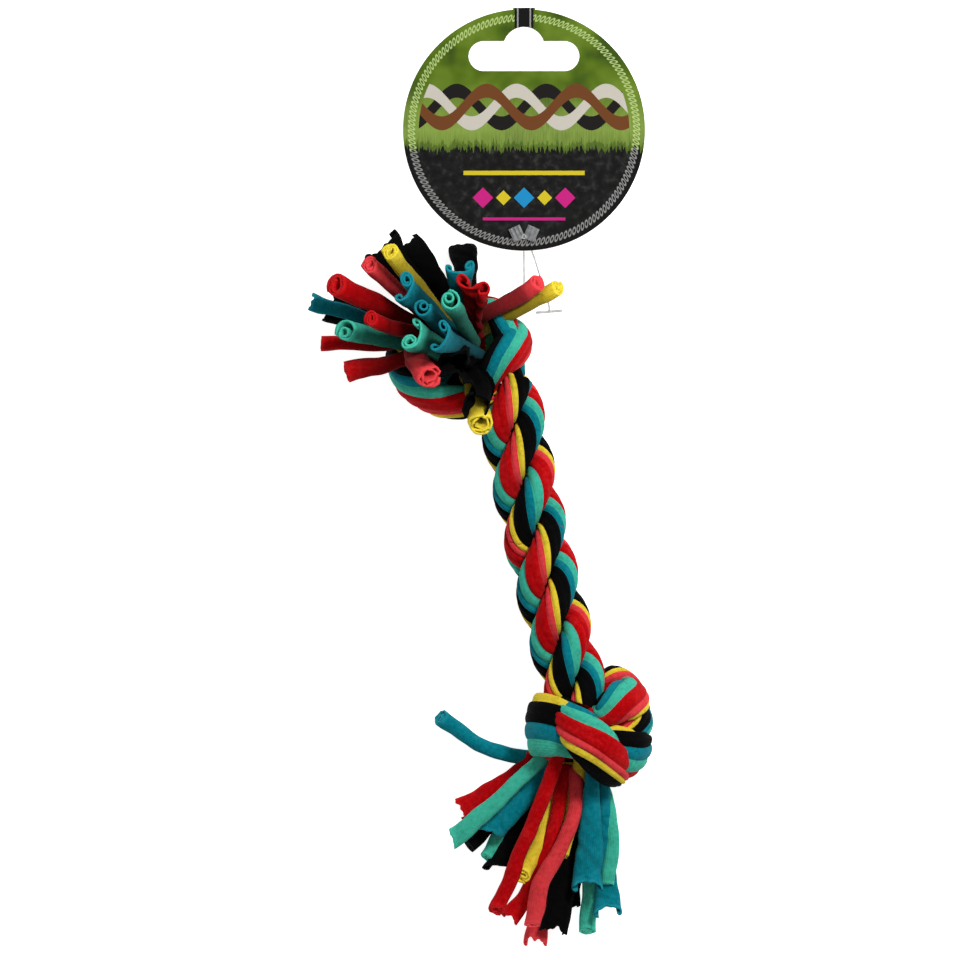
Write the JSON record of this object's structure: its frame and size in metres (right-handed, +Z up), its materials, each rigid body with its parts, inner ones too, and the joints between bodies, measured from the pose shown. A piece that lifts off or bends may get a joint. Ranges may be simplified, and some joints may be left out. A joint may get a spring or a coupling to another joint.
{
  "type": "fabric rope tug toy",
  "caption": "Short laid rope of stretchy knitted strips with a knot and a loose fringe at each end and a folded round hang card on two fine plastic pins, for tugging with a pet.",
  "frame": {"origin": "on the table plane under the middle of the toy's outline, as it lies flat", "axes": "+Y along the toy towards the hang card's top, +X to the right seen from above, +Z up from the table, towards the camera"},
  "size_m": [0.0987, 0.2706, 0.0521],
  "materials": {
    "striped_jersey": "rolled knitted cotton jersey strips of six colours laid side by side, matte, fine ribs",
    "jersey_red": "rolled knitted cotton jersey, matte, fine ribs, raw cut ends",
    "jersey_coral": "rolled knitted cotton jersey, matte, fine ribs, raw cut ends",
    "jersey_yellow": "rolled knitted cotton jersey, matte, fine ribs, raw cut ends",
    "jersey_mint": "rolled knitted cotton jersey, matte, fine ribs, raw cut ends",
    "jersey_teal": "rolled knitted cotton jersey, matte, fine ribs, raw cut ends",
    "jersey_black": "rolled knitted cotton jersey, matte, fine ribs, raw cut ends",
    "printed_card": "printed coated card, satin, green over charcoal with a plain rope-link ring",
    "pin_nylon": "translucent natural nylon"
  },
  "bodies": {
    "upper_end": {"upper_knot_ply_a": "striped_jersey", "upper_knot_ply_b": "striped_jersey", "upper_knot_ply_c": "striped_jersey", "upper_strip_black_1": "jersey_black", "upper_strip_black_2": "jersey_black", "upper_strip_black_3": "jersey_black", "upper_strip_black_4": "jersey_black", "upper_strip_black_5": "jersey_black", "upper_strip_yellow_1": "jersey_yellow", "upper_strip_yellow_2": "jersey_yellow", "upper_strip_yellow_3": "jersey_yellow", "upper_strip_coral_1": "jersey_coral", "upper_strip_coral_2": "jersey_coral", "upper_strip_coral_3": "jersey_coral", "upper_strip_red_1": "jersey_red", "upper_strip_red_2": "jersey_red", "upper_strip_red_3": "jersey_red", "upper_strip_red_4": "jersey_red", "upper_strip_red_5": "jersey_red", "upper_strip_teal_1": "jersey_teal", "upper_strip_teal_2": "jersey_teal", "upper_strip_teal_3": "jersey_teal", "upper_strip_teal_4": "jersey_teal", "upper_strip_teal_5": "jersey_teal", "upper_strip_mint_1": "jersey_mint", "upper_strip_mint_2": "jersey_mint", "upper_strip_mint_3": "jersey_mint"},
    "rope_mid": {"rope_ply_a": "striped_jersey", "rope_ply_b": "striped_jersey", "rope_ply_c": "striped_jersey"},
    "lower_end": {"lower_knot_ply_a": "striped_jersey", "lower_knot_ply_b": "striped_jersey", "lower_knot_ply_c": "striped_jersey", "lower_strip_teal_1": "jersey_teal", "lower_strip_teal_2": "jersey_teal", "lower_strip_teal_3": "jersey_teal", "lower_strip_teal_4": "jersey_teal", "lower_strip_mint_1": "jersey_mint", "lower_strip_mint_2": "jersey_mint", "lower_strip_mint_3": "jersey_mint", "lower_strip_mint_4": "jersey_mint", "lower_strip_red_1": "jersey_red", "lower_strip_red_2": "jersey_red", "lower_strip_red_3": "jersey_red", "lower_strip_red_4": "jersey_red", "lower_strip_coral_1": "jersey_coral", "lower_strip_coral_2": "jersey_coral", "lower_strip_yellow_1": "jersey_yellow", "lower_strip_yellow_2": "jersey_yellow", "lower_strip_black_1": "jersey_black", "lower_strip_black_2": "jersey_black", "lower_strip_black_3": "jersey_black", "lower_strip_black_4": "jersey_black"},
    "tag": {"hang_tag": "printed_card", "tag_pin_left": "pin_nylon", "tag_pin_right": "pin_nylon"}
  },
  "joints": [
    {"name": "rope_bend", "type": "hinge", "parent": "upper_end", "child": "rope_mid", "pos_m": [0.00687, 0.02792, 0.0158], "axis": [0, 0, 1], "range_deg": [-70, 70], "deforming": ["rope_ply_a", "rope_ply_b", "rope_ply_c"]},
    {"name": "rope_stretch", "type": "slide", "parent": "rope_mid", "child": "lower_end", "axis": [0.225, -0.9744, 0], "range_m": [0, 0.03], "stiffness_N_per_m": 1200, "deforming": ["rope_ply_a", "rope_ply_b", "rope_ply_c"]},
    {"name": "tag_swing", "type": "hinge", "parent": "upper_end", "child": "tag", "pos_m": [0.01237, 0.06987, 0.00352], "axis": [1, 0, 0], "range_deg": [0, 75], "deforming": ["tag_pin_left", "tag_pin_right"]}
  ]
}
